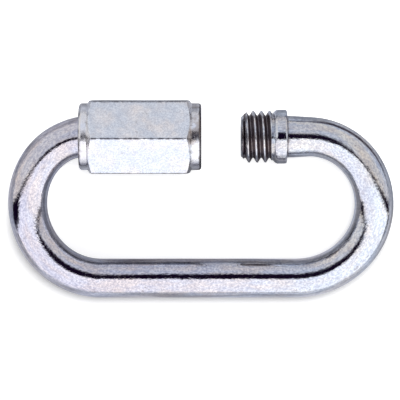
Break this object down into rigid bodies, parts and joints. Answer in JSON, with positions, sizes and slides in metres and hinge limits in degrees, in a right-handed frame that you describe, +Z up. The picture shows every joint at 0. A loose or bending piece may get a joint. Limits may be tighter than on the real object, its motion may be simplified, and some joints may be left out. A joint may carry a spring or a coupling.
{
  "type": "chain quick link",
  "caption": "Oval steel quick link: a bent rod with threaded ends and a long hexagon sleeve nut that crosses the gap to close the loop.",
  "frame": {"origin": "middle of the footprint, on the surface that the link lies on", "axes": "+X along the nut's axis towards the open stud, +Y across the loop from the bar to the nut, +Z up through the loop"},
  "size_m": [0.0592, 0.0304, 0.0127],
  "materials": {
    "rod_zinc": "bright zinc plating on steel rod",
    "nut_zinc": "bright zinc plating on a steel nut"
  },
  "bodies": {
    "link": {"link_body": "rod_zinc"},
    "nut": {"sleeve_nut": "nut_zinc"}
  },
  "joints": [
    {"name": "nut_travel", "type": "slide", "parent": "link", "child": "nut", "axis": [1, 0, 0], "range_m": [0, 0.01125]}
  ]
}
